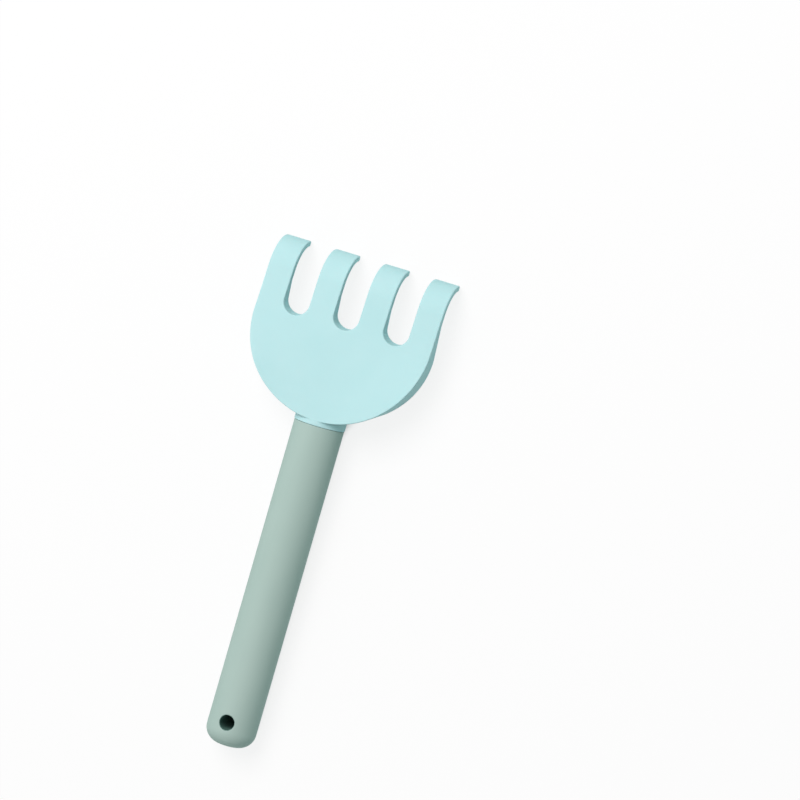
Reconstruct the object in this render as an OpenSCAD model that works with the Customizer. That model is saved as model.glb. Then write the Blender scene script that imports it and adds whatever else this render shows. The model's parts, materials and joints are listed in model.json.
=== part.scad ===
// Hand rake for sand play: a soft four-tined head moulded over a stiff core,
// pressed into a round handle. It lies at rest, tine tips and handle end down.

/* [Handle] */
// Diameter of the round handle
handle_d = 22; // [19:0.5:28]
// Length of the handle, from the joint with the head to the closed end
handle_l = 144; // [120:1:180]
// Rounding of the closed end
butt_r = 7; // [3:0.5:9]
// Rounding of the rims at the joint
rim_r = 0.3; // [0.2:0.1:1.5]
// Solid length left behind the bore, at the closed end
solid_end = 26; // [20:1:40]

/* [Hang hole] */
// Diameter of the hole for a cord or a hook
hang_d = 6.5; // [4:0.5:9]
// Distance of the hole from the closed end
hang_from_end = 10.9; // [9:0.1:14]
// Rounding of the hole's mouths
hang_mouth_r = 0.5; // [0.3:0.1:1.6]

/* [Collar] */
// Height by which the soft collar stands proud of the handle that it meets
collar_proud = 0.2; // [0:0.05:0.6]
// Length of the collar below the plate
collar_l = 1.9; // [1.2:0.1:6]
// Length of the collar that is buried in the plate
collar_sink = 2.4; // [1.5:0.1:4]
// Step from the face of the plate down to the buried collar
collar_step = 0.04; // [0.02:0.01:0.1]
// Length of the cone that fades from the collar into the plate's back
fairing_l = 22; // [14:1:30]
// Diameter at the end of that cone
fairing_end_d = 8; // [4:0.5:11]

/* [Plate] */
// Width of the head over its outer tines
head_w = 80.1; // [74:0.1:90]
// Height of the rounded lower outline, up to the widest line
plate_rise = 38.4; // [32:0.2:48]
// Step from the collar's back in to the plate's back, at the plate's foot
foot_in = 0.1; // [0.05:0.05:4]
// Angle by which the face leans back from the handle's axis
face_lean = 6; // [3:0.5:9]
// Angle by which the plate's side walls lean towards the tines
wall_lean = 4.5; // [0:0.5:7]
// Rounding of all edges of the head
edge_r = 0.5; // [0.3:0.1:1.1]

/* [Tines] */
// Number of tines
tine_count = 4; // [3:1:5]
// Width of a tine
tine_w = 11.4; // [9:0.1:14]
// Thickness of a tine below its curl
tine_t = 3.6; // [3.1:0.1:5]
// Thickness of a tine at its tip
tip_t = 2.3; // [2.3:0.1:3.5]
// Height of the slot floors above the widest line
slot_rise = 2; // [1.2:0.1:10]
// Straight length of a tine, from the round slot floor to the curl
tine_straight = 12.1; // [8:0.1:22]
// Part of that length over which the tine keeps one thickness
even_l = 4.2; // [1:0.2:7]
// Outer radius of the curl
curl_r = 15.3; // [12:0.1:20]
// Angle that the curl turns through
curl_angle = 90; // [75:1:120]
// Corner radius of the tine tips, seen from the front
tip_r = 2.4; // [1.2:0.1:3]

/* [Core] */
// Soft skin over the core's web and fingers
skin = 1.1; // [0.8:0.1:1.3]
// Soft wall at each side of a core finger
finger_wall = 2; // [1.4:0.1:3]
// Distance from the finger ends to the curl
finger_stop = 3; // [1:0.5:6]
// Distance from the core's web to the plate's rim
web_margin = 5; // [3:0.5:8]
// Length of the core's round neck inside the head
neck_l = 8; // [6:0.5:11]
// Thickness of a gusset rib between neck and web
rib_t = 2; // [1.2:0.1:3]
// Spacing of the gusset ribs
rib_pitch = 4.5; // [3.5:0.5:5]
// Reach of the gusset ribs up the web
rib_reach = 32; // [24:1:36]
// Diameter of the web's holes, through which the soft head holds itself
anchor_d = 5; // [3:0.5:7]
// Spacing of the anchor holes from the middle outwards
anchor_pitch = 11.5; // [10:0.5:13]
// Height of the anchor holes up the web
anchor_rise = 28; // [22:1:32]

/* [Spigot] */
// Diameter of the handle's bore
bore_d = 14; // [11:0.5:14.5]
// Length of the spigot inside the handle
spigot_l = 52; // [42:1:70]
// Wall of the hollow spigot
spigot_wall = 2.5; // [1.5:0.1:3.5]
// Thickness of the spigot's closed top
spigot_roof = 4; // [2:0.5:8]
// Length of the tapered lead at the spigot's end
lead_l = 2; // [1:0.5:4]
// Radius of the snap beads around the spigot
bead_r = 0.9; // [0.8:0.1:1.2]
// Height of the snap beads above the spigot
bead_h = 0.6; // [0.3:0.1:0.8]
// Distance of the first bead from the joint
bead_from = 12; // [8:1:20]
// Distance between the two beads
bead_pitch = 24; // [10:1:28]
// Width of the key that stops the head from turning
key_w = 2.4; // [1.5:0.1:4]
// Height of the key above the spigot
key_h = 1; // [0.5:0.1:1.5]
// Length of the key from the joint
key_l = 20; // [10:1:30]

/* [Fits] */
// Gap between the handle and the collar
joint_gap = 0.12; // [0.05:0.01:0.4]
// Gap all round between the spigot and the bore
spigot_gap = 0.1; // [0.05:0.01:0.3]

/* [Hidden] */
$fn = 72;
// Overlap that joins solids, and overshoot of cuts
lap = 0.5;

head_colour = [0.74, 0.91, 0.91];
core_colour = [0.93, 0.92, 0.88];
handle_colour = [0.66, 0.76, 0.73];

handle_r = handle_d / 2;
collar_r = handle_r + collar_proud;
plate_t = (2 * collar_r - foot_in) / cos(wall_lean);
spigot_r = bore_d / 2 - spigot_gap;
bead_ring_r = spigot_r + bead_h - bead_r;

// The tines stand side by side, one pitch apart, with a round-bottomed slot between each two
head_half_w = head_w / 2;
slot_w = (head_w - tine_count * tine_w) / (tine_count - 1);
tine_pitch = tine_w + slot_w;
function tine_x(k) = (k - (tine_count - 1) / 2) * tine_pitch;

// Heights up the face, measured along its surface from the plate's lower edge
slot_floor = plate_rise + slot_rise;
slot_mid = slot_floor + slot_w / 2;
curl_start = slot_mid + tine_straight;
wedge_end = curl_start - even_l;
tine_end = curl_start + curl_r * curl_angle * PI / 180;

// Number of steps in each round stretch of the head's outline
rim_steps = 22;
slot_steps = 6;
curl_steps = 12;
corner_steps = 3;
edge_steps = 3;

// Side view of the head as [along the handle, towards the front]: the face is straight
// up to the curl, then turns backwards
function face_normal(angle) = [sin(angle), cos(angle)];
function face_angle(s) = face_lean + max(0, s - curl_start) / curl_r * 180 / PI;
function straight_face(s) = [collar_l + s * cos(face_lean), collar_r - s * sin(face_lean)];
curl_middle = straight_face(curl_start) - curl_r * face_normal(face_lean);
function face_point(s) =
    s <= curl_start ? straight_face(s) : curl_middle + curl_r * face_normal(face_angle(s));

// The head is a wedge, which thins from the foot of the plate to the tines; each tine then
// keeps one thickness up to its curl, and thins again to its tip
function thickness(s) =
    s < curl_start
        ? plate_t + (tine_t - plate_t) * min(1, s / wedge_end)
        : tine_t + (tip_t - tine_t) * (s - curl_start) / (tine_end - curl_start);
function depth_direction(s) =
    face_normal(s < curl_start ? -wall_lean : face_angle(s));

// Rings that round the edges, each as [inset from the outline, depth, 1 if from the back]
function edge_ring(angle, from_back) =
    [edge_r * (1 - sin(angle)), edge_r * (1 - cos(angle)), from_back];
rings = [
    for (i = [0 : edge_steps]) edge_ring(90 * i / edge_steps, 0),
    for (i = [edge_steps : -1 : 0]) edge_ring(90 * i / edge_steps, 1)
];
function side_point(s, ring) =
    face_point(s) - (ring[2] == 0 ? ring[1] : thickness(s) - ring[1]) * depth_direction(s);

// Heights of the marks along a curl, from its start to the rounding of the tip
curl_marks = [
    for (i = [0 : curl_steps]) curl_start + i * (tine_end - tip_r - curl_start) / curl_steps
];

// Edge of one tine as [half width, height up the face], from beside the slot floor to the tip;
// the side towards a slot widens there into a quarter of the slot's round floor
function tine_edge(inset, beside_slot) = let (slot_r = slot_w / 2 + inset) [
    for (i = [1 : slot_steps]) let (angle = 90 * i / slot_steps)
        [beside_slot ? tine_pitch / 2 - slot_r * sin(angle) : tine_w / 2 - inset,
         slot_mid - slot_r * cos(angle)],
    for (s = [wedge_end, each curl_marks]) [tine_w / 2 - inset, s],
    for (i = [1 : corner_steps]) let (angle = 90 * i / corner_steps, r = tip_r - inset)
        [tine_w / 2 - tip_r + r * cos(angle), tine_end - tip_r + r * sin(angle)]
];
edge_count = slot_steps + 1 + len(curl_marks) + corner_steps;

// The whole outline as [across, height up the face], anticlockwise from the foot: half of the
// rounded rim, then the tines from right to left with a floor point on each side of each tine,
// then the other half of the rim
function rim_half(inset, from_angle) = [
    for (i = [0 : rim_steps - 1]) let (angle = from_angle + 90 * i / rim_steps)
        [(head_half_w - inset) * cos(angle), plate_rise + (plate_rise - inset) * sin(angle)]
];
function tine_outline(k, inset) = let (
    right = tine_edge(inset, k < tine_count - 1),
    left = tine_edge(inset, k > 0)
) [
    for (e = right) [tine_x(k) + e[0], e[1]],
    for (i = [edge_count - 1 : -1 : 0]) [tine_x(k) - left[i][0], left[i][1]]
];
function outline(inset) = [
    each rim_half(inset, -90),
    [head_half_w - inset, plate_rise],
    [head_half_w - inset, slot_floor - inset],
    for (k = [tine_count - 1 : -1 : 0]) each [
        each tine_outline(k, inset),
        [k > 0 ? tine_x(k) - tine_pitch / 2 : inset - head_half_w, slot_floor - inset]
    ],
    each rim_half(inset, 180)
];
ring_size = len(outline(0));

// Place in the outline of the floor point before each tine, counted from the right
function floor_place(j) = rim_steps + 1 + j * (2 * edge_count + 1);

// Triangles over the plate below the slots, along each tine, and between two rings
plate_places = [
    for (i = [1 : rim_steps]) i,
    for (j = [0 : tine_count]) floor_place(j),
    for (i = [ring_size - rim_steps : ring_size - 1]) i
];
plate_faces = [for (i = [1 : len(plate_places) - 1]) [0, plate_places[i], plate_places[i - 1]]];
tine_faces = [
    for (j = [0 : tine_count - 1], i = [0 : edge_count - 1])
        let (right = floor_place(j) + i, left = floor_place(j + 1) - i)
            each [[right, left, left - 1], [right, left - 1, right + 1]]
];
function wall_faces(r) = [
    for (i = [0 : ring_size - 1]) let (n = (i + 1) % ring_size, low = r * ring_size)
        each [
            [low + i, low + n, low + ring_size + i],
            [low + n, low + ring_size + n, low + ring_size + i]
        ]
];
function backwards(faces, first) = [for (f = faces) [first + f[0], first + f[2], first + f[1]]];

// Rest on a floor: the line under the handle's rounded end that just touches the tine tips,
// or the collar's back where that hangs lower
butt_middle = [butt_r - handle_l, butt_r - handle_r];
tip_points = [for (ring = rings) side_point(tine_end - ring[0], ring)];
function floor_angle(p) =
    let (v = p - butt_middle) atan2(v[1], v[0]) + asin(butt_r / norm(v));
collar_back = [[rim_r, -collar_r], [collar_l + collar_sink, -collar_r]];
rest_angle = min([for (p = [each tip_points, each collar_back]) floor_angle(p)]);
function rest_along(p) = p[0] * cos(rest_angle) + p[1] * sin(rest_angle);
function rest_height(p) = p[1] * cos(rest_angle) - p[0] * sin(rest_angle);
butt_reach = min(rest_along(butt_middle), rest_along([butt_middle[0], -butt_middle[1]])) - butt_r;
curl_reach = max([for (s = curl_marks) rest_along(face_point(s))]);
floor_height = rest_height(butt_middle) - butt_r;

// Turns what is built along the handle's axis down on to the floor, middle over the origin
module laid_down() {
    translate([0, -(butt_reach + curl_reach) / 2, -floor_height])
        rotate([-rest_angle, 0, 0])
            children();
}

// Stands a round shape along the handle, with its height running away from the joint
module towards_head() rotate([-90, 0, 0]) children();
module towards_butt() rotate([90, 0, 0]) children();

// Draws a side view and gives it a thickness across the rake
module across(width) rotate([90, 0, 90]) linear_extrude(width, center = true) children();

// Lays a flat shape on the leaning face
module on_face() translate([0, collar_l, collar_r]) rotate([-face_lean, 0, 0]) children();

// Half section of a round bar, with both ends rounded
module rounded_bar(r, length, foot_r, top_r) {
    intersection() {
        union() {
            translate([0, foot_r]) square([r, length - foot_r - top_r]);
            square([r - foot_r, foot_r + lap]);
            translate([r - foot_r, foot_r]) circle(foot_r);
            translate([0, length - top_r - lap]) square([r - top_r, top_r + lap]);
            translate([r - top_r, length - top_r]) circle(top_r);
        }
        square([r, length]);
    }
}

// Plate, slots and curled tines in one skin of rings
module plate_and_tines() {
    points = [
        for (ring = rings) for (p = outline(ring[0]))
            let (side = side_point(p[1], ring)) [p[0], side[0], side[1]]
    ];
    face = [each plate_faces, each tine_faces];
    walls = [for (r = [0 : len(rings) - 2]) each wall_faces(r)];
    back = backwards(face, (len(rings) - 1) * ring_size);
    polyhedron(points, [each face, each walls, each back]);
}

// Round collar with its fading cone, cut off just under the plate's face
module collar() {
    round_l = collar_l + collar_sink;
    top = round_l + fairing_l;
    face_foot = straight_face(-collar_l / cos(face_lean));
    face_top = straight_face(top);
    step = [0, collar_step];
    intersection() {
        towards_head() union() {
            rotate_extrude() intersection() {
                rounded_bar(collar_r, round_l + rim_r, rim_r, rim_r);
                square([collar_r, round_l]);
            }
            translate([0, 0, round_l]) cylinder(r1 = collar_r, d2 = fairing_end_d, h = fairing_l);
        }
        across(2 * collar_r + lap) polygon([
            [-lap, face_foot[1]],
            face_foot - step,
            face_top - step,
            [face_top[0], -2 * collar_r],
            [-lap, -2 * collar_r]
        ]);
    }
}

// Web of the core with its fingers, as a flat shape up the face
module web_shape() {
    web_half_w = head_half_w - web_margin;
    web_rise = plate_rise - web_margin;
    web_top = slot_floor - finger_wall;
    first_angle = asin((plate_rise - web_top) / web_rise);
    finger_w = tine_w - 2 * finger_wall;
    finger_foot = web_top - lap;
    finger_top = curl_start - finger_stop - finger_w / 2;
    difference() {
        union() {
            polygon([
                for (i = [0 : 2 * rim_steps])
                    let (angle = 180 + first_angle + (90 - first_angle) * i / rim_steps)
                        [web_half_w * cos(angle), plate_rise + web_rise * sin(angle)]
            ]);
            for (k = [0 : tine_count - 1]) translate([tine_x(k), 0]) {
                translate([-finger_w / 2, finger_foot]) square([finger_w, finger_top - finger_foot]);
                translate([0, finger_top]) circle(finger_w / 2);
            }
        }
        for (side = [-1, 1], step = [1, 2])
            translate([side * step * anchor_pitch, anchor_rise]) circle(d = anchor_d);
    }
}

// Gusset between the neck and the back of the web, seen from the side
module rib_shape() {
    web_middle = [0, tine_t / 2];
    inside_neck = -spigot_r / 3;
    foot = straight_face(neck_l / 2) - web_middle;
    polygon([
        foot,
        straight_face(rib_reach) - web_middle,
        [collar_l + neck_l, inside_neck],
        [foot[0], inside_neck]
    ]);
}

// Two snap beads, or their grooves with room around them
module beads(room) {
    for (i = [0, 1])
        translate([0, 0, bead_from + i * bead_pitch])
            rotate_extrude() translate([bead_ring_r, 0]) circle(bead_r + room, $fn = 24);
}

// Key on the back of the spigot, or its groove with room around it
module key(room) {
    translate([-key_w / 2 - room, -spigot_r - key_h - room, -room])
        cube([key_w + 2 * room, key_h + lap + 2 * room, key_l + 2 * room]);
}

// Hollow spigot with a tapered lead, running down into the handle
module spigot() {
    difference() {
        union() {
            cylinder(r = spigot_r, h = spigot_l - lead_l);
            translate([0, 0, spigot_l - lead_l])
                cylinder(r1 = spigot_r, r2 = spigot_r - bead_h, h = lead_l);
            beads(0);
            key(0);
        }
        translate([0, 0, spigot_roof]) cylinder(r = spigot_r - spigot_wall, h = spigot_l);
    }
}

// The part of the core that the soft head is moulded over
module core_in_head() {
    towards_head() cylinder(r = spigot_r, h = collar_l + neck_l);
    on_face() translate([0, 0, skin - tine_t]) linear_extrude(tine_t - 2 * skin) web_shape();
    for (i = [-1 : 1]) translate([i * rib_pitch, 0, 0]) across(rib_t) rib_shape();
}

module rake_head() {
    color(head_colour) laid_down() difference() {
        union() {
            plate_and_tines();
            collar();
        }
        core_in_head();
    }
}

module head_core() {
    color(core_colour) laid_down() {
        core_in_head();
        towards_butt() spigot();
    }
}

// Cutter for a hole along Z with rounded mouths, through a wall of the given height
module soft_hole(r, height, mouth_r) {
    rotate_extrude() difference() {
        translate([0, -height / 2 - lap]) square([r + mouth_r, height + 2 * lap]);
        translate([r, mouth_r - height / 2]) square([mouth_r + lap, height - 2 * mouth_r]);
        for (side = [-1, 1]) translate([r + mouth_r, side * (height / 2 - mouth_r)]) circle(mouth_r);
    }
}

module handle() {
    color(handle_colour) laid_down() difference() {
        towards_butt() difference() {
            translate([0, 0, joint_gap])
                rotate_extrude() rounded_bar(handle_r, handle_l - joint_gap, rim_r, butt_r);
            cylinder(d = bore_d, h = handle_l - solid_end);
            beads(spigot_gap);
            key(spigot_gap);
        }
        translate([0, hang_from_end - handle_l, 0]) soft_hole(hang_d / 2, handle_d, hang_mouth_r);
    }
}

rake_head();
head_core();
handle();
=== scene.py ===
# %% [markdown]
# # A sand rake: soft head, hidden core, round handle
# The rake is a child's hand tool for sand. Its pale aqua head is soft silicone, moulded over a
# stiff core that nobody sees, and a round sage green handle is pressed on to that core.
# The imported solids are loaded first. They fix where everything is, so nothing is fitted by eye,
# and the box around them is kept.

import json
import math

import bmesh
import bpy
from mathutils import Matrix, Vector


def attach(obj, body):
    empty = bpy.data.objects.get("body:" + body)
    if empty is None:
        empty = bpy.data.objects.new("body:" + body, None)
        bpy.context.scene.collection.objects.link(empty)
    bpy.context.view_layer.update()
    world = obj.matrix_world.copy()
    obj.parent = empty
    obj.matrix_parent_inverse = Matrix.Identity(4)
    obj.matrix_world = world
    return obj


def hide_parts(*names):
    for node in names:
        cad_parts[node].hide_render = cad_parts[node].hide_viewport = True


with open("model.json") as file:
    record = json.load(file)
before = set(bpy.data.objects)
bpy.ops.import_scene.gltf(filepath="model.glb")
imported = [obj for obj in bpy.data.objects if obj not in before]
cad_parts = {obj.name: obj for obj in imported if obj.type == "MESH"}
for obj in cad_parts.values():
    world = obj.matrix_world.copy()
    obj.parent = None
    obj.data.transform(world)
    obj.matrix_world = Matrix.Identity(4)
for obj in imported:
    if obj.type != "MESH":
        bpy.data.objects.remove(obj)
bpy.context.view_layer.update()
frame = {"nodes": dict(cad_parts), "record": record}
print("solids:", sorted(frame["nodes"]))

# %% [markdown]
# ## The rake's own axes
# The rake lies on the floor on its tine tips and the end of its handle, so its handle is tilted
# by a fraction of a degree. Its shapes are easier to write along the handle. They could be built
# upright and turned afterwards, but a small function that places each point is simpler to check.
# The hang hole in the record gives the direction out of the head's face, and a point on the axis.

# %% Place points along the handle
HANDLE_L = 144.0
HANG_FROM_END = 10.9
MM = 0.001

hang_hole = next(m for m in frame["record"]["mounts"] if m["name"] == "hang_hole")
RIGHT = Vector((1.0, 0.0, 0.0))
FRONT = Vector(hang_hole["axis"]).normalized()
ALONG = FRONT.cross(RIGHT)
JOINT = Vector(hang_hole["pos_m"]) + (HANDLE_L - HANG_FROM_END) * MM * ALONG


def place(across, along, front):
    """A point in millimetres from the joint of head and handle, as metres in the shared frame."""
    return JOINT + MM * (across * RIGHT + along * ALONG + front * FRONT)


print("joint of head and handle:", [round(v, 4) for v in JOINT])

# %% [markdown]
# ## The camera
# The photograph looks down on the rake's face from a little to its right and towards its tines,
# with the picture turned so that the handle leans. A camera could be posed by angles, but three
# directions at right angles, worked out from those turns, show plainly what each one does.
# It stands a metre and a half away. The photograph shows the handle's end more from the tines'
# side than the tips, and a camera much farther off would show both alike.

# %% Directions of the picture
TURN_RIGHT = math.radians(13.8)
TURN_TO_TINES = math.radians(4.8)
PICTURE_ROLL = math.radians(16.2)

to_camera = (
    math.sin(TURN_RIGHT) * math.cos(TURN_TO_TINES) * RIGHT
    + math.sin(TURN_TO_TINES) * ALONG
    + math.cos(TURN_RIGHT) * math.cos(TURN_TO_TINES) * FRONT
)
handle_in_picture = (ALONG - ALONG.dot(to_camera) * to_camera).normalized()
picture_up = Matrix.Rotation(PICTURE_ROLL, 3, to_camera) @ handle_in_picture
picture_right = picture_up.cross(to_camera)
print("seen from:", [round(v, 3) for v in to_camera])

# %% Set the camera
IMAGE_SIDE = 800
JOINT_PIXEL = (319.5, 424.6)
METRES_PER_PIXEL = 0.0004275
CAMERA_DISTANCE = 1.5
SENSOR_WIDTH = 36.0

aim = JOINT + METRES_PER_PIXEL * (
    (IMAGE_SIDE / 2 - JOINT_PIXEL[0]) * picture_right
    + (JOINT_PIXEL[1] - IMAGE_SIDE / 2) * picture_up
)
camera = bpy.data.objects.new("camera", bpy.data.cameras.new("camera"))
bpy.context.scene.collection.objects.link(camera)
axes = Matrix((picture_right, picture_up, to_camera)).transposed()
camera.matrix_world = Matrix.Translation(aim + CAMERA_DISTANCE * to_camera) @ axes.to_4x4()
camera.data.sensor_width = SENSOR_WIDTH
camera.data.lens = SENSOR_WIDTH * CAMERA_DISTANCE / (IMAGE_SIDE * METRES_PER_PIXEL)
bpy.context.scene.camera = camera
print("lens:", round(camera.data.lens), "mm")

# %% [markdown]
# ## Small helpers for meshes
# Every piece below is a list of rings of points with faces between them. These helpers turn such
# lists into an object. Faces are shaded smoothly, and edges that turn sharply are marked, so that
# the soft roundings look soft and the real corners stay crisp.

# %% Make an object from points and faces
def ring_bands(ring_count, ring_size, first=0):
    """Four-sided faces between each ring of points and the next."""
    bands = []
    for ring in range(ring_count - 1):
        low = first + ring * ring_size
        for i in range(ring_size):
            n = (i + 1) % ring_size
            bands.append((low + i, low + n, low + ring_size + n, low + ring_size + i))
    return bands


def make_piece(name, points, faces):
    """A new object with outward faces, linked into the scene."""
    mesh = bpy.data.meshes.new(name)
    mesh.from_pydata(points, [], faces)
    work = bmesh.new()
    work.from_mesh(mesh)
    bmesh.ops.recalc_face_normals(work, faces=work.faces)
    work.to_mesh(mesh)
    work.free()
    piece = bpy.data.objects.new(name, mesh)
    bpy.context.scene.collection.objects.link(piece)
    return piece


print("faces between two rings of four points:", len(ring_bands(2, 4)))

# %% Join, shade and count
CRISP_ANGLE = math.radians(38)


def combine(piece, other, operation):
    """Joins another object to the piece, or cuts it away, and removes that object."""
    step = piece.modifiers.new(operation, "BOOLEAN")
    step.operation = operation
    step.solver = "EXACT"
    step.object = other
    bpy.context.view_layer.update()
    evaluated = piece.evaluated_get(bpy.context.evaluated_depsgraph_get())
    mesh = bpy.data.meshes.new_from_object(evaluated)
    piece.modifiers.clear()
    piece.data = mesh
    bpy.data.objects.remove(other)


def shade(piece):
    """Smooth shading that leans on the large faces and keeps real corners."""
    piece.data.shade_smooth()
    piece.data.set_sharp_from_angle(angle=CRISP_ANGLE)
    weigh = piece.modifiers.new("even shading", "WEIGHTED_NORMAL")
    weigh.keep_sharp = True


def report_mesh(piece):
    """Prints the size of a mesh, and how many of its edges do not have exactly two faces."""
    work = bmesh.new()
    work.from_mesh(piece.data)
    loose = sum(not e.is_manifold for e in work.edges)
    print(piece.name, "faces:", len(work.faces), "open or doubled edges:", loose)
    work.free()


print("edges stay crisp above", round(math.degrees(CRISP_ANGLE)), "degrees")

# %% [markdown]
# ## The head, seen from the side
# The head is a wedge: as thick as the collar where it leaves it, thin where the tines stand.
# A tine keeps one thickness up to its curl, then thins again to its tip. The face leans back a
# little, runs straight, and rolls over backwards. A sheet could be modelled flat and bent with a
# modifier, but here each height up the face has its place written directly, so that the curl
# has its true radius. Below the slots the face rises a little towards its rim, as a scoop does:
# the photograph shows a wider wall on the right, and a face that is brighter there, than a flat
# face would have.

# %% Sizes of the head
COLLAR_R = 11.2
COLLAR_L = 1.9
FACE_LEAN = math.radians(6)
WALL_LEAN = math.radians(4.5)
FOOT_IN = 0.1
PLATE_T = (2 * COLLAR_R - FOOT_IN) / math.cos(WALL_LEAN)
PLATE_RISE = 38.4
HEAD_HALF_W = 40.05
DISH_RISE = 4.7
DISH_END = 46.0
TINE_COUNT = 4
TINE_W = 11.4
TINE_T = 3.6
TIP_T = 2.3
TINE_STRAIGHT = 12.1
EVEN_L = 4.2
SLOT_RISE = 2.0
SLOT_W = (2 * HEAD_HALF_W - TINE_COUNT * TINE_W) / (TINE_COUNT - 1)
TINE_PITCH = TINE_W + SLOT_W
SLOT_FLOOR = PLATE_RISE + SLOT_RISE
SLOT_MIDDLE = SLOT_FLOOR + SLOT_W / 2
CURL_START = SLOT_MIDDLE + TINE_STRAIGHT
WEDGE_END = CURL_START - EVEN_L
CURL_R = 15.3
CURL_ANGLE = math.radians(90)
TINE_END = CURL_START + CURL_R * CURL_ANGLE
print("plate:", round(PLATE_T, 2), "mm thick, slots:", round(SLOT_W, 2), "mm wide")


# %% Side view of the head
def direction(angle):
    """A direction in the side view as (along, front), turned from straight out of the face."""
    return Vector((math.sin(angle), math.cos(angle)))


def straight_face(height):
    """The face before the curl, as (along, front) at a height up the face."""
    lean = Vector((math.cos(FACE_LEAN), -math.sin(FACE_LEAN)))
    return Vector((COLLAR_L, COLLAR_R)) + height * lean


curl_middle = straight_face(CURL_START) - CURL_R * direction(FACE_LEAN)


def dish(across, height):
    """How far the face stands out towards its rim, which fades out where the tines begin."""
    fade = max(0.0, 1 - (height / DISH_END) ** 2) ** 2
    return DISH_RISE * (across / HEAD_HALF_W) ** 2 * fade


def skin_point(across, height, depth, from_back):
    """A point of the head's skin: across, up the face, and so deep below its front or its back."""
    turn = FACE_LEAN + max(0.0, height - CURL_START) / CURL_R
    if height < CURL_START:
        surface = straight_face(height)
        inwards = -direction(-WALL_LEAN)
        thickness = PLATE_T + (TINE_T - PLATE_T) * min(1.0, height / WEDGE_END)
    else:
        surface = curl_middle + CURL_R * direction(turn)
        inwards = -direction(turn)
        share = (height - CURL_START) / (TINE_END - CURL_START)
        thickness = TINE_T + (TIP_T - TINE_T) * share
    below = thickness - depth if from_back else depth - dish(across, height)
    return place(across, *(surface + below * inwards))


tip_reach = (skin_point(0, TINE_END, 0, False) - JOINT).dot(ALONG) / MM
print("tine tips reach", round(tip_reach, 1), "mm past the joint")

# %% [markdown]
# ## The head's outline
# From the front the head is a half round below and four tines above, with round-bottomed slots
# between them. The outline could be drawn once and bevelled, but a bevel slips where a slot meets
# a curl. So the outline is written for any inset, and a stack of insets rounds the edges over.

# %% One edge of a tine
SLOT_STEPS = 14
CURL_STEPS = 32
CORNER_STEPS = 6
TIP_R = 2.4


def arc(steps, first=0):
    """Angles of a quarter turn, in equal steps."""
    return [math.pi / 2 * i / steps for i in range(first, steps + 1)]


def tine_edge(inset, beside_slot):
    """Half width and height along one edge of a tine, from beside the slot's floor to the tip."""
    straight = TINE_W / 2 - inset
    slot_r = SLOT_W / 2 + inset
    tip_r = TIP_R - inset
    edge = []
    for angle in arc(SLOT_STEPS, 1):
        half = TINE_PITCH / 2 - slot_r * math.sin(angle) if beside_slot else straight
        edge.append((half, SLOT_MIDDLE - slot_r * math.cos(angle)))
    edge.append((straight, WEDGE_END))
    curl = TINE_END - TIP_R - CURL_START
    for i in range(CURL_STEPS + 1):
        edge.append((straight, CURL_START + curl * i / CURL_STEPS))
    for angle in arc(CORNER_STEPS, 1):
        half = TINE_W / 2 - TIP_R + tip_r * math.cos(angle)
        edge.append((half, TINE_END - TIP_R + tip_r * math.sin(angle)))
    return edge


EDGE_COUNT = len(tine_edge(0, True))
print("points along one edge of a tine:", EDGE_COUNT)

# %% The whole outline
RIM_STEPS = 60
RIM_TUCK = 0.75


def tine_middle(k):
    """How far across the middle of a tine is, counted from the left."""
    return (k - (TINE_COUNT - 1) / 2) * TINE_PITCH


def head_outline(inset):
    """The whole outline as (across, height), anticlockwise from the foot of the plate."""
    half_w = HEAD_HALF_W - inset
    rise = PLATE_RISE - inset
    rim = []
    for a in arc(RIM_STEPS):
        across = half_w * math.sin(a) - RIM_TUCK * math.sin(2 * a)
        rim.append((across, PLATE_RISE - rise * math.cos(a)))
    outline = rim + [(half_w, SLOT_FLOOR - inset)]
    for k in reversed(range(TINE_COUNT)):
        right = tine_edge(inset, k < TINE_COUNT - 1)
        left = tine_edge(inset, k > 0)
        outline += [(tine_middle(k) + half, height) for half, height in right]
        outline += [(tine_middle(k) - half, height) for half, height in reversed(left)]
        floor = tine_middle(k) - TINE_PITCH / 2 if k > 0 else -half_w
        outline.append((floor, SLOT_FLOOR - inset))
    return outline + [(-across, height) for across, height in reversed(rim[1:])]


RING_SIZE = len(head_outline(0))
print("points in one outline:", RING_SIZE)

# %% [markdown]
# ## The head's skin
# On the real rake every edge of the head is rounded over, as silicone mouldings are. The rings run
# from the face, over its rounded edge, down the wall and round to the back. Each tine is closed
# with a strip of four-sided faces. One many-sided face could close the plate if it were flat, but
# a dished one needs points inside, so rings shrink from its rim to the middle of its upper edge.

# %% Rings from the face to the back
EDGE_R = 0.5
EDGE_STEPS = 5

roundings = [(EDGE_R * (1 - math.sin(a)), EDGE_R * (1 - math.cos(a))) for a in arc(EDGE_STEPS)]
rings = [(inset, depth, False) for inset, depth in roundings]
rings += [(inset, depth, True) for inset, depth in reversed(roundings)]

head_points = []
for inset, depth, from_back in rings:
    for across, height in head_outline(inset):
        head_points.append(skin_point(across, height, depth, from_back))
head_faces = ring_bands(len(rings), RING_SIZE)
print("rings from face to back:", len(rings))

# %% Close the face and the back
PLATE_RINGS = 18

floors = [RIM_STEPS + 1 + j * (2 * EDGE_COUNT + 1) for j in range(TINE_COUNT + 1)]
plate_rim = list(range(RIM_STEPS + 1)) + floors + list(range(floors[-1] + 1, RING_SIZE))


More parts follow.
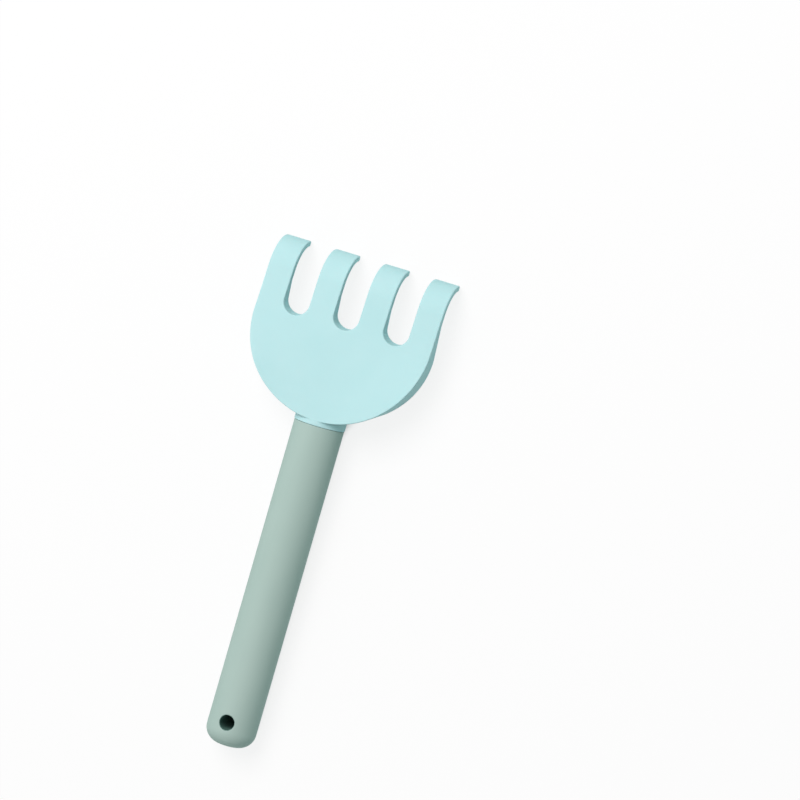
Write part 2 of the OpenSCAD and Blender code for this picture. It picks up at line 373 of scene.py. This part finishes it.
def close_side(first, from_back):
    """Closes the tines and the plate on one side, whose ring of points starts at first."""
    for right, left in zip(floors, floors[1:]):
        for i in range(EDGE_COUNT):
            strip = (right + i, right + i + 1, left - i - 1, left - i)
            head_faces.append([first + place_in_ring for place_in_ring in strip])
    outline = head_outline(EDGE_R)
    wider = [first + i for i in plate_rim]
    for ring in range(1, PLATE_RINGS):
        share = 1 - ring / PLATE_RINGS
        inner = [len(head_points) + i for i in range(len(plate_rim))]
        for across, height in (outline[i] for i in plate_rim):
            up = PLATE_RISE + share * (height - PLATE_RISE)
            head_points.append(skin_point(share * across, up, 0, from_back))
        for i in range(len(inner)):
            head_faces.append((wider[i - 1], wider[i], inner[i], inner[i - 1]))
        wider = inner
    head_faces.append(wider)


close_side(0, False)
close_side((len(rings) - 1) * RING_SIZE, True)
soft_head = make_piece("soft_head", head_points, head_faces)
report_mesh(soft_head)

# %% [markdown]
# ## The collar
# Below the plate the silicone ends in a short round collar, a hair wider than the handle, and at
# the back it fades into the plate as a cone. A turned shape is a profile carried round an axis.
# The collar is turned, sliced off just under the plate's face, and joined to the plate.

# %% Turn the collar
TURN_STEPS = 96
RIM_R = 0.3
COLLAR_SINK = 2.4
FAIRING_L = 22.0
FAIRING_END_R = 4.0


def turned(name, profile):
    """A closed solid from (radius, along) points, whose first and last radius close the ends."""
    points = []
    for radius, along in profile:
        for i in range(TURN_STEPS):
            angle = math.tau * i / TURN_STEPS
            points.append(place(radius * math.sin(angle), along, radius * math.cos(angle)))
    last = (len(profile) - 1) * TURN_STEPS
    ends = [list(range(TURN_STEPS)), [last + i for i in range(TURN_STEPS)]]
    return make_piece(name, points, ring_bands(len(profile), TURN_STEPS) + ends)


round_l = COLLAR_L + COLLAR_SINK
collar_profile = [
    (COLLAR_R - RIM_R + RIM_R * math.sin(a), RIM_R - RIM_R * math.cos(a)) for a in arc(EDGE_STEPS)
]
collar_profile += [(COLLAR_R, round_l), (FAIRING_END_R, round_l + FAIRING_L)]
collar = turned("collar", collar_profile)
report_mesh(collar)

# %% Slice the collar and join it to the plate
FACE_STEP = 0.04

work = bmesh.new()
work.from_mesh(collar.data)
cut = bmesh.ops.bisect_plane(
    work,
    geom=work.verts[:] + work.edges[:] + work.faces[:],
    plane_co=place(0, COLLAR_L, COLLAR_R - FACE_STEP),
    plane_no=math.cos(FACE_LEAN) * FRONT + math.sin(FACE_LEAN) * ALONG,
    clear_outer=True,
)
cut_edges = [e for e in cut["geom_cut"] if isinstance(e, bmesh.types.BMEdge)]
bmesh.ops.edgeloop_fill(work, edges=cut_edges)
bmesh.ops.recalc_face_normals(work, faces=work.faces)
work.to_mesh(collar.data)
work.free()
report_mesh(collar)
combine(soft_head, collar, "UNION")
report_mesh(soft_head)

# %% [markdown]
# ## Room for the core
# The soft head is moulded over the stiff core, so it is hollow exactly where the core is. The room
# could be drawn again, but cutting with a copy of the core's own solid cannot disagree with it.

# %% Cut the core's room out of the head
WELD_REACH = 1e-7

core_copy = bpy.data.objects.new("core_copy", frame["nodes"]["head_core"].data.copy())
bpy.context.scene.collection.objects.link(core_copy)
work = bmesh.new()
work.from_mesh(core_copy.data)
bmesh.ops.remove_doubles(work, verts=work.verts, dist=WELD_REACH)
work.to_mesh(core_copy.data)
work.free()
report_mesh(core_copy)
combine(soft_head, core_copy, "DIFFERENCE")
report_mesh(soft_head)
shade(soft_head)
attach(soft_head, "root")
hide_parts("rake_head")

# %% [markdown]
# ## The handle's profile
# The handle is a plain round bar with one softly rounded end. Inside it has a blind bore for the
# core's spigot, with two grooves that the spigot's beads snap into. Carrying a profile round the
# axis gives all of that at once, so the profile runs from the end of the bore, out over the rim,
# and along the outside to the rounded end.

# %% Profile of the bore and the rim
HANDLE_R = 11.0
JOINT_GAP = 0.12
BORE_R = 7.0
SOLID_END_L = 26.0
GROOVES_AT = (36.0, 12.0)
GROOVE_R = 1.0
GROOVE_RING_R = 6.6
GROOVE_STEPS = 6

bore_rows = [(BORE_R, HANDLE_L - SOLID_END_L)]
groove_half = math.acos((BORE_R - GROOVE_RING_R) / GROOVE_R)
for middle in GROOVES_AT:
    for i in range(-GROOVE_STEPS, GROOVE_STEPS + 1):
        angle = groove_half * i / GROOVE_STEPS
        groove_radius = GROOVE_RING_R + GROOVE_R * math.cos(angle)
        bore_rows.append((groove_radius, middle - GROOVE_R * math.sin(angle)))
bore_rows.append((BORE_R, JOINT_GAP))

rim_rows = [
    (HANDLE_R - RIM_R + RIM_R * math.sin(a), JOINT_GAP + RIM_R - RIM_R * math.cos(a))
    for a in arc(EDGE_STEPS)
]
print("rows in the bore:", len(bore_rows), "and over the rim:", len(rim_rows))

# %% Profile of the outside
BUTT_R = 7.0
BUTT_FROM = HANDLE_L - BUTT_R
ROW_STEP = 6.0
END_STEPS = 8
HOLE_AT = HANDLE_L - HANG_FROM_END
WINDOW = 6.5
WINDOW_ROWS = 16


def handle_radius(from_joint):
    """Outer radius at a distance from the joint: straight, then the rounded end."""
    into_end = max(0.0, from_joint - BUTT_FROM)
    return HANDLE_R - BUTT_R + math.sqrt(max(0.0, BUTT_R**2 - into_end**2))


straight_rows = []
while (len(straight_rows) + 2) * ROW_STEP < HOLE_AT - WINDOW:
    straight_rows.append((HANDLE_R, (len(straight_rows) + 1) * ROW_STEP))
window_rows = [HOLE_AT - WINDOW + 2 * WINDOW * i / WINDOW_ROWS for i in range(WINDOW_ROWS + 1)]
first_angle = math.asin((window_rows[-1] - BUTT_FROM) / BUTT_R)
end_rows = []
for i in range(1, END_STEPS + 1):
    angle = first_angle + (math.pi / 2 - first_angle) * i / END_STEPS
    end_radius = HANDLE_R - BUTT_R + BUTT_R * math.cos(angle)
    end_rows.append((end_radius, BUTT_FROM + BUTT_R * math.sin(angle)))

profile = bore_rows + rim_rows + straight_rows
top_row = len(profile)
bottom_row = top_row + WINDOW_ROWS
profile += [(handle_radius(t), t) for t in window_rows] + end_rows
print("rows along the handle:", len(profile))

# %% [markdown]
# ## The handle's skin
# The turned skin leaves two windows free, one on the front and one on the back, where the hang hole
# will go through. A hole could be cut out with a boolean, but its mouths are rounded where they
# meet a curved surface, and a boolean leaves a mesh there that is hard to round.

# %% Turned skin with two windows
HALF_TURN = TURN_STEPS // 2
WINDOW_COLUMNS = 10


def on_skin(row, column):
    """Place of a point of the turned skin."""
    return row * TURN_STEPS + column % TURN_STEPS


def skin_position(row, column):
    """The same point as (across, distance from the joint, front)."""
    radius, from_joint = profile[row]
    angle = math.tau * column / TURN_STEPS
    return radius * math.sin(angle), from_joint, radius * math.cos(angle)


def in_window(row, column):
    """Whether the face that starts at this point belongs to a window."""
    from_window = (column + WINDOW_COLUMNS) % HALF_TURN
    return top_row <= row < bottom_row and from_window < 2 * WINDOW_COLUMNS


grip_positions = []
grip_faces = []
for row in range(len(profile)):
    for column in range(TURN_STEPS):
        grip_positions.append(skin_position(row, column))
        if row + 1 < len(profile) and not in_window(row, column):
            here = (on_skin(row, column), on_skin(row, column + 1))
            grip_faces.append(here + (on_skin(row + 1, column + 1), on_skin(row + 1, column)))
for row in (0, len(profile) - 1):
    grip_faces.append([on_skin(row, column) for column in range(TURN_STEPS)])
print("faces before the hole:", len(grip_faces))

# %% [markdown]
# ## The hang hole
# A cord or a hook goes through this hole, so its mouths are rounded over and nothing on it is
# sharp. A tube of rings goes from the front window to the back one. Each ring has as many points
# as the window has round its edge: rings shrink from the window to the mouth, sink over the
# rounding, and run straight through the handle.

# %% Rings over one mouth of the hole
HOLE_R = 3.25
MOUTH_R = 0.5
PATCH_RINGS = 4
MOUTH_RINGS = 7


def window_edge(middle):
    """Places once round one window, as (row, column)."""
    left, right = middle - WINDOW_COLUMNS, middle + WINDOW_COLUMNS
    edge = [(top_row, column) for column in range(left, right)]
    edge += [(row, right) for row in range(top_row, bottom_row)]
    edge += [(bottom_row, column) for column in range(right, left, -1)]
    return edge + [(row, left) for row in range(bottom_row, top_row, -1)]


def towards(a, b, share):
    """A value part of the way from one to another."""
    return a + share * (b - a)


def mouth_rings(side):
    """Rings from one window, on the front (1) or back (-1), to the top of the hole's wall."""
    edge = window_edge(0 if side > 0 else HALF_TURN)
    made = []
    for ring in range(1, PATCH_RINGS + MOUTH_RINGS + 1):
        over = math.pi / 2 * max(0, ring - PATCH_RINGS) / MOUTH_RINGS
        sunk = MOUTH_R * (1 - math.cos(over))
        reach = HOLE_R + MOUTH_R * (1 - math.sin(over))
        share = min(1.0, ring / PATCH_RINGS)
        points = []
        for i, (row, column) in enumerate(edge):
            turn = math.tau * (WINDOW_COLUMNS - i) / len(edge) - math.pi
            edge_across, edge_from, _ = skin_position(row, column)
            across = towards(edge_across, side * reach * math.sin(turn), share)
            from_joint = towards(edge_from, HOLE_AT + reach * math.cos(turn), share)
            outside = math.sqrt(handle_radius(from_joint) ** 2 - across**2)
            points.append((across, from_joint, side * (outside - sunk)))
        made.append(points)
    return edge, made


front_edge, tube = mouth_rings(1)
back_edge, back_rings = mouth_rings(-1)
edge_size = len(front_edge)
print("points round the hole:", edge_size)

# %% Tube of rings through the handle
WALL_RINGS = 6

# The back is counted the other way round, so its points are put into the front's order
order = [(2 * WINDOW_COLUMNS - i) % edge_size for i in range(edge_size)]
back_edge = [back_edge[i] for i in order]
back_rings = [[points[i] for i in order] for points in back_rings]

wall_top, wall_foot = tube[-1], back_rings[-1]
for step in range(1, WALL_RINGS):
    share = step / WALL_RINGS
    pairs = zip(wall_top, wall_foot)
    tube.append([tuple(towards(a, b, share) for a, b in zip(p, q)) for p, q in pairs])
tube += reversed(back_rings)

first_tube = len(grip_positions)
last_tube = first_tube + (len(tube) - 1) * edge_size
for points in tube:
    grip_positions += points
grip_faces += ring_bands(len(tube), edge_size, first_tube)
for i in range(edge_size):
    n = (i + 1) % edge_size
    front = (on_skin(*front_edge[n]), on_skin(*front_edge[i]))
    back = (on_skin(*back_edge[i]), on_skin(*back_edge[n]))
    grip_faces.append(front + (first_tube + i, first_tube + n))
    grip_faces.append(back + (last_tube + n, last_tube + i))
print("rings in the tube:", len(tube))

# %% [markdown]
# ## The handle as one piece
# A key on the core stops the head from turning, and slides into a groove inside the bore. The
# groove is a plain straight cut that never shows, so here a boolean is the simple way.

# %% Make the handle and cut its key groove
KEY_HALF_W = 1.3
KEY_TOP = -6.0
KEY_FLOOR = -8.0
KEY_FIRST = 0.1
KEY_LAST = -20.1

grip = make_piece("grip", [place(a, -t, f) for a, t, f in grip_positions], grip_faces)
report_mesh(grip)
key_outline = [
    (-KEY_HALF_W, KEY_FIRST),
    (KEY_HALF_W, KEY_FIRST),
    (KEY_HALF_W, KEY_LAST),
    (-KEY_HALF_W, KEY_LAST),
]
corners = [place(a, t, f) for f in (KEY_FLOOR, KEY_TOP) for a, t in key_outline]
key_groove = make_piece("key_groove", corners, ring_bands(2, 4) + [(0, 1, 2, 3), (4, 5, 6, 7)])
combine(grip, key_groove, "DIFFERENCE")
report_mesh(grip)
shade(grip)
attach(grip, "root")
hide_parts("handle")

# %% [markdown]
# ## Helpers for finishes
# A finish is a small network of nodes. Colour, roughness and fine relief each start from a noise
# of the right size, measured in the model's own metres, so no picture and no unwrapping is needed.

# %% Noises of a real size
NOISE_LOW = 0.3
NOISE_HIGH = 0.7


def noise(tree, feature_mm, detail, stretch=(1.0, 1.0, 1.0)):
    """A noise whose features are about so many millimetres wide."""
    where = tree.nodes.new("ShaderNodeTexCoord")
    turn = tree.nodes.new("ShaderNodeMapping")
    turn.inputs["Scale"].default_value = stretch
    cloud = tree.nodes.new("ShaderNodeTexNoise")
    cloud.inputs["Scale"].default_value = 1 / (feature_mm * MM)
    cloud.inputs["Detail"].default_value = detail
    tree.links.new(where.outputs["Object"], turn.inputs["Vector"])
    tree.links.new(turn.outputs["Vector"], cloud.inputs["Vector"])
    return cloud.outputs["Fac"]


def carry(tree, value, low, high, to_low=0.0, to_high=1.0):
    """Carries values between low and high to another range, and holds them inside it."""
    step = tree.nodes.new("ShaderNodeMapRange")
    step.inputs["From Min"].default_value = low
    step.inputs["From Max"].default_value = high
    step.inputs["To Min"].default_value = to_low
    step.inputs["To Max"].default_value = to_high
    tree.links.new(value, step.inputs["Value"])
    return step.outputs["Result"]


def spread(tree, fac, low=0.0, high=1.0):
    """Carries the middle of a noise's values to a range."""
    return carry(tree, fac, NOISE_LOW, NOISE_HIGH, low, high)


print("noises are used from", NOISE_LOW, "to", NOISE_HIGH)


# %% Colour, relief and the shader
def tint(tree, fac, first, second):
    """A colour between two, chosen by a value from 0 to 1; either may come from other nodes."""
    mix = tree.nodes.new("ShaderNodeMix")
    mix.data_type = "RGBA"
    for side, colour in (("A", first), ("B", second)):
        if isinstance(colour, tuple):
            mix.inputs[side].default_value = (*colour, 1.0)
        else:
            tree.links.new(colour, mix.inputs[side])
    tree.links.new(fac, mix.inputs["Factor"])
    return mix.outputs["Result"]


def relief(tree, fac, height_mm, strength, under=None):
    """A fine surface relief, laid over another one if that is given."""
    bump = tree.nodes.new("ShaderNodeBump")
    bump.inputs["Strength"].default_value = strength
    bump.inputs["Distance"].default_value = height_mm * MM
    tree.links.new(fac, bump.inputs["Height"])
    if under is not None:
        tree.links.new(under, bump.inputs["Normal"])
    return bump.outputs["Normal"]


def new_finish(name):
    """A new material, with its nodes and its shader."""
    finish = bpy.data.materials.new(name)
    finish.use_nodes = True
    return finish, finish.node_tree, finish.node_tree.nodes["Principled BSDF"]


def dress(piece, finish):
    """Gives a piece its one material."""
    piece.data.materials.clear()
    piece.data.materials.append(finish)
    print(piece.name, "is finished in", finish.name)


print("pieces to dress:", soft_head.name, grip.name, frame["nodes"]["head_core"].name)

# %% [markdown]
# ## Finish of the soft head
# Silicone for sand toys is dyed right through and comes out of a blasted mould, so it is matte,
# with a barely visible grain. Light enters it a little before it comes back, which softens its
# edges. The dye is almost even: two close tones in wide clouds are enough.

# %% Pale aqua silicone
DEEP_AQUA = (0.504, 0.784, 0.801)
PALE_AQUA = (0.529, 0.804, 0.822)
DYE_CLOUD_MM = 22
HAZE_PATCH_MM = 6
SILICONE_ROUGHNESS = (0.60, 0.68)
MOULD_GRAIN_MM = 0.35
MOULD_GRAIN_STRENGTH = 0.35
GRAIN_DEPTH_MM = 0.02
LIGHT_DEPTH_MM = 1

silicone, tree, shader = new_finish("aqua_silicone")
clouds = spread(tree, noise(tree, DYE_CLOUD_MM, detail=2))
tone = tint(tree, clouds, DEEP_AQUA, PALE_AQUA)
tree.links.new(tone, shader.inputs["Base Color"])
haze = spread(tree, noise(tree, HAZE_PATCH_MM, detail=3), *SILICONE_ROUGHNESS)
tree.links.new(haze, shader.inputs["Roughness"])
mould_grain = noise(tree, MOULD_GRAIN_MM, detail=2)
grain = relief(tree, mould_grain, GRAIN_DEPTH_MM, MOULD_GRAIN_STRENGTH)
tree.links.new(grain, shader.inputs["Normal"])
shader.inputs["IOR"].default_value = 1.41
shader.inputs["Specular IOR Level"].default_value = 0.12
shader.inputs["Subsurface Weight"].default_value = 0.12
shader.inputs["Subsurface Radius"].default_value = (0.6, 1.0, 1.0)
shader.inputs["Subsurface Scale"].default_value = LIGHT_DEPTH_MM * MM
dress(soft_head, silicone)

# %% [markdown]
# ## Finish of the handle
# The handle is sage green with a soft matte coat. Close up, the coat is not quite even: light
# drifts in long shallow waves along it, and a fine grain breaks up the shine. The waves are drawn
# out along the handle, as a coat that settled while the handle lay would be. The photograph shows
# the hang hole almost black, so the hole's wall is painted a deep green as painted shade, fading in
# over its mouth. A second material on the hole's faces would do, but its border would be hard, so a
# soft mask is used.

# %% Mask of the painted shade in the hang hole
# Distances from the hole's axis over which painted shade fades in towards the hole's wall
HOLE_SHADE_FULL_AT = HOLE_R + 0.1
HOLE_SHADE_STARTS_AT = HOLE_R + 0.35


def hole_shade_mask(tree):
    """Mask of painted shade: 1 on the hang hole's wall, fading to 0 over its mouth."""
    where = tree.nodes.new("ShaderNodeTexCoord").outputs["Object"]
    for operation, other in (("SUBTRACT", hang_hole["pos_m"]), ("CROSS_PRODUCT", FRONT)):
        step = tree.nodes.new("ShaderNodeVectorMath")
        step.operation = operation
        step.inputs[1].default_value = other
        tree.links.new(where, step.inputs[0])
        where = step.outputs["Vector"]
    from_axis = tree.nodes.new("ShaderNodeVectorMath")
    from_axis.operation = "LENGTH"
    tree.links.new(where, from_axis.inputs[0])
    return carry(tree, from_axis.outputs["Value"], HOLE_SHADE_STARTS_AT * MM, HOLE_SHADE_FULL_AT * MM)


# Over this width the coat's colour gives way to the painted shade of the hole
print("the coat fades out over", round(HOLE_SHADE_STARTS_AT - HOLE_SHADE_FULL_AT, 2), "mm of the mouth")

# %% Sage green handle
DEEP_SAGE = (0.417, 0.551, 0.503)
PALE_SAGE = (0.446, 0.578, 0.529)
# Painted shade: deep greens painted on the hang hole's wall so that the hole looks almost black
DEEP_HOLE_SHADE = (0.10, 0.21, 0.18)
PALE_HOLE_SHADE = (0.12, 0.24, 0.205)
DRIFT_MM = 14
DRIFT_STRETCH = (1.0, 0.3, 1.0)
SHEEN_PATCH_MM = 5
COAT_ROUGHNESS = (0.50, 0.60)
WAVE_MM = 12
WAVE_STRETCH = (1.0, 0.6, 1.0)
WAVE_DEPTH_MM = 0.25
WAVE_STRENGTH = 0.25
COAT_GRAIN_MM = 0.3
COAT_GRAIN_STRENGTH = 0.30

sage, tree, shader = new_finish("sage_coat")
drifts = spread(tree, noise(tree, DRIFT_MM, detail=2, stretch=DRIFT_STRETCH))
coat = tint(tree, drifts, DEEP_SAGE, PALE_SAGE)
# Painted shade: the hang hole's wall is painted a deep green in place of its shade
painted_hole_shade = tint(tree, drifts, DEEP_HOLE_SHADE, PALE_HOLE_SHADE)
tone = tint(tree, hole_shade_mask(tree), coat, painted_hole_shade)
tree.links.new(tone, shader.inputs["Base Color"])
sheen = spread(tree, noise(tree, SHEEN_PATCH_MM, detail=3), *COAT_ROUGHNESS)
tree.links.new(sheen, shader.inputs["Roughness"])
long_waves = noise(tree, WAVE_MM, detail=1, stretch=WAVE_STRETCH)
waves = relief(tree, long_waves, WAVE_DEPTH_MM, WAVE_STRENGTH)
coat_grain = noise(tree, COAT_GRAIN_MM, detail=2)
grain = relief(tree, coat_grain, GRAIN_DEPTH_MM, COAT_GRAIN_STRENGTH, waves)
tree.links.new(grain, shader.inputs["Normal"])
shader.inputs["IOR"].default_value = 1.46
shader.inputs["Specular IOR Level"].default_value = 0.10
dress(grip, sage)

# %% [markdown]
# ## Finish of the core
# The core never shows, but a model that comes apart should look right inside too. It is a plain
# off-white moulding with a faint flow of the plastic along it.

# %% Off-white core
DEEP_CREAM = (0.80, 0.78, 0.71)
PALE_CREAM = (0.85, 0.83, 0.77)
FLOW_MM = 9
FLOW_STRETCH = (1.0, 0.4, 1.0)
CORE_PATCH_MM = 3
CORE_ROUGHNESS = (0.42, 0.50)
CORE_GRAIN_MM = 0.4
CORE_GRAIN_STRENGTH = 0.2

core_plastic, tree, shader = new_finish("core_plastic")
flow = spread(tree, noise(tree, FLOW_MM, detail=2, stretch=FLOW_STRETCH))
tree.links.new(tint(tree, flow, DEEP_CREAM, PALE_CREAM), shader.inputs["Base Color"])
gloss = spread(tree, noise(tree, CORE_PATCH_MM, detail=2), *CORE_ROUGHNESS)
tree.links.new(gloss, shader.inputs["Roughness"])
core_grain = noise(tree, CORE_GRAIN_MM, detail=2)
grain = relief(tree, core_grain, GRAIN_DEPTH_MM, CORE_GRAIN_STRENGTH)
tree.links.new(grain, shader.inputs["Normal"])
dress(frame["nodes"]["head_core"], core_plastic)

# %% [markdown]
# ## The floor
# The photograph's ground is plain white. The floor is a wide sheet that still takes the rake's
# shadow: the camera sees it part lit and part glowing, which keeps it white without more light
# on the rake. It stops glowing where the rake covers it closely, so that no light shows through
# the hang hole from under the handle. Rays that carry light back up meet a plain cool grey, because
# a white floor would light the rake's shaded sides too much.

# %% White where it is seen
DIRECT_RAYS = ("Is Camera Ray", "Is Glossy Ray", "Is Transmission Ray")


def seen_directly(tree):
    """A value that is 1 for rays from the camera, and for reflections and what shows through."""
    path = tree.nodes.new("ShaderNodeLightPath")
    total = path.outputs[DIRECT_RAYS[0]]
    for ray in DIRECT_RAYS[1:]:
        both = tree.nodes.new("ShaderNodeMath")
        both.operation = "MAXIMUM"
        tree.links.new(total, both.inputs[0])
        tree.links.new(path.outputs[ray], both.inputs[1])
        total = both.outputs["Value"]
    return total


def mix_to_output(tree, share, first, second, output):
    """Mixes two shaders by a share of the second, and sends the result to an output."""
    mix = tree.nodes.new("ShaderNodeMixShader")
    tree.links.new(share, mix.inputs["Fac"])
    tree.links.new(first, mix.inputs[1])
    tree.links.new(second, mix.inputs[2])
    tree.links.new(mix.outputs["Shader"], tree.nodes.new(output).inputs["Surface"])


print("white for:", ", ".join(DIRECT_RAYS))

# %% White floor
FLOOR_HALF = 8.0
FLOOR_SEEN = (0.95, 0.95, 0.95)
FLOOR_BOUNCE = (0.60, 0.735, 0.73)
GLOW_SHARE = 0.85
COVER_REACH = 10 * MM
CLOSED_OFF = 0.2
OPEN_ENOUGH = 0.4

floor_corners = [(-1, -1), (1, -1), (1, 1), (-1, 1)]
floor_points = [(FLOOR_HALF * x, FLOOR_HALF * y, 0.0) for x, y in floor_corners]
floor = make_piece("floor", floor_points, [(0, 1, 2, 3)])
white_floor = bpy.data.materials.new("white_floor")
white_floor.use_nodes = True
tree = white_floor.node_tree
tree.nodes.clear()
direct = seen_directly(tree)
lit = tree.nodes.new("ShaderNodeBsdfDiffuse")
tree.links.new(tint(tree, direct, FLOOR_BOUNCE, FLOOR_SEEN), lit.inputs["Color"])
glow = tree.nodes.new("ShaderNodeEmission")
open_sky = tree.nodes.new("ShaderNodeAmbientOcclusion")
open_sky.inputs["Distance"].default_value = COVER_REACH
uncovered = carry(tree, open_sky.outputs["AO"], CLOSED_OFF, OPEN_ENOUGH, 0.0, GLOW_SHARE)
share = tree.nodes.new("ShaderNodeMath")
share.operation = "MULTIPLY"
tree.links.new(uncovered, share.inputs[0])
tree.links.new(direct, share.inputs[1])
lit_and_glow = (lit.outputs["BSDF"], glow.outputs["Emission"])
mix_to_output(tree, share.outputs["Value"], *lit_and_glow, "ShaderNodeOutputMaterial")
dress(floor, white_floor)

# %% [markdown]
# ## The light
# In the photograph a wide soft light stands to the upper left, so the handle's left half is evenly
# bright and its right side falls off. A weak lamp at the lower left reaches under the plate to the
# collar, and keeps the handle's edge as bright as its middle. Both are slightly warm, and the
# world that fills the shade is slightly cool, because the photograph's shaded walls are a deeper
# aqua than its faces. One white world would be simpler, but it would leave those walls grey.
# Lamps are placed by the picture's own directions.

# %% Two soft lamps
WARM = (1.0, 0.945, 0.955)
LAMP_DISTANCE = 1.6
LAMP_SIDE = 1.0
KEY_FROM = (-0.36, 0.46, 0.88)
KEY_WATTS = 21.7
SIDE_FROM = (-0.92, -0.38, 0.16)
SIDE_WATTS = 2.7


def soft_lamp(name, comes_from, watts):
    """A square lamp that looks at the picture's middle, from (right, up, out) of it."""
    right, up, out = comes_from
    lamp = bpy.data.objects.new(name, bpy.data.lights.new(name, "AREA"))
    lamp.data.energy = watts
    lamp.data.size = LAMP_SIDE
    lamp.data.color = WARM
    towards_lamp = (right * picture_right + up * picture_up + out * to_camera).normalized()
    lamp.location = aim + LAMP_DISTANCE * towards_lamp
    lamp.rotation_euler = towards_lamp.to_track_quat("Z", "Y").to_euler()
    bpy.context.scene.collection.objects.link(lamp)


soft_lamp("key_lamp", KEY_FROM, KEY_WATTS)
soft_lamp("side_lamp", SIDE_FROM, SIDE_WATTS)

# %% The world
COOL = (0.88, 1.0, 0.98)
WHITE = (1.0, 1.0, 1.0)
WORLD_FILL = 0.30
WORLD_SEEN = 1.0

world = bpy.data.worlds.new("studio")
bpy.context.scene.world = world
world.use_nodes = True
tree = world.node_tree
tree.nodes.clear()
skies = []
for colour, strength in ((COOL, WORLD_FILL), (WHITE, WORLD_SEEN)):
    sky = tree.nodes.new("ShaderNodeBackground")
    sky.inputs["Color"].default_value = (*colour, 1.0)
    sky.inputs["Strength"].default_value = strength
    skies.append(sky.outputs["Background"])
mix_to_output(tree, seen_directly(tree), *skies, "ShaderNodeOutputWorld")
bpy.context.scene.view_settings.view_transform = "Standard"
print("world fills the shade at", WORLD_FILL)
